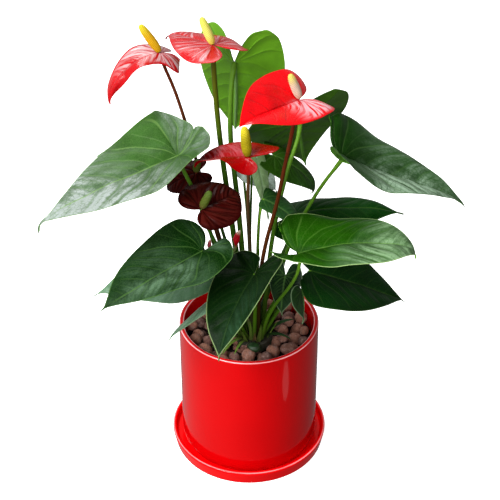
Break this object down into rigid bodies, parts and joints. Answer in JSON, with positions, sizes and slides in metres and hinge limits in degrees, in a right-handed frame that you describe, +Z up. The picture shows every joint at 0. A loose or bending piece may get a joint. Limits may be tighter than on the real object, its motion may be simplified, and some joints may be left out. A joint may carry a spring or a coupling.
{
  "type": "potted anthurium",
  "caption": "Flowering house plant with heart-shaped leaves and red spathes, in a glazed round pot of clay pebbles on a saucer.",
  "frame": {"origin": "centre of the saucer's flat foot, on the surface that the plant stands on", "axes": "+Z up along the pot's axis, +X to the plant's right as seen from its front, +Y to its back; millimetres in the STEP files"},
  "size_m": [0.3745, 0.2257, 0.4628],
  "materials": {
    "red_glaze": "gloss",
    "clay": "matte",
    "crown_green": "matte",
    "leaf_top": "satin",
    "leaf_underside": "satin",
    "leaf_stalk": "satin",
    "flower_stalk": "satin",
    "spathe_red": "gloss",
    "spathe_maroon": "gloss",
    "spadix": "matte"
  },
  "bodies": {
    "root": {"saucer": "red_glaze", "pot": "red_glaze", "clay_pebbles": "clay", "crown": "crown_green", "leaf_left_broad": "leaf_top", "stalk_left_broad": "leaf_stalk", "leaf_left_back": "leaf_top", "stalk_left_back": "leaf_stalk", "leaf_left_low": "leaf_top", "stalk_left_low": "leaf_stalk", "leaf_left_under": "leaf_underside", "stalk_left_under": "leaf_stalk", "leaf_front": "leaf_top", "stalk_front": "leaf_stalk", "leaf_right_top": "leaf_top", "stalk_right_top": "leaf_stalk", "leaf_right_broad": "leaf_top", "stalk_right_broad": "leaf_stalk", "leaf_right_behind": "leaf_top", "stalk_right_behind": "leaf_stalk", "leaf_right_low": "leaf_top", "stalk_right_low": "leaf_stalk", "leaf_back_high": "leaf_underside", "stalk_back_high": "leaf_stalk", "leaf_back_right": "leaf_underside", "stalk_back_right": "leaf_stalk", "leaf_middle_right": "leaf_top", "stalk_middle_right": "leaf_stalk", "leaf_middle_back": "leaf_underside", "stalk_middle_back": "leaf_stalk", "leaf_middle_small": "leaf_top", "stalk_middle_small": "leaf_stalk", "leaf_low_left": "leaf_underside", "stalk_low_left": "leaf_stalk", "leaf_low_front": "leaf_top", "stalk_low_front": "leaf_stalk", "leaf_low_right": "leaf_top", "stalk_low_right": "leaf_stalk", "flower_top_left_collar": "spathe_red", "flower_top_left_spike": "spadix", "flower_top_left_stalk": "flower_stalk", "flower_top_middle_collar": "spathe_red", "flower_top_middle_spike": "spadix", "flower_top_middle_stalk": "flower_stalk", "flower_right_collar": "spathe_red", "flower_right_spike": "spadix", "flower_right_stalk": "flower_stalk", "flower_middle_collar": "spathe_red", "flower_middle_spike": "spadix", "flower_middle_stalk": "flower_stalk", "flower_low_collar": "spathe_maroon", "flower_low_spike": "spadix", "flower_low_stalk": "flower_stalk", "flower_low_back_collar": "spathe_maroon", "flower_low_back_spike": "spadix", "flower_low_back_stalk": "flower_stalk", "flower_bud_red": "spathe_red", "flower_bud_pink": "spathe_red"}
  },
  "joints": []
}
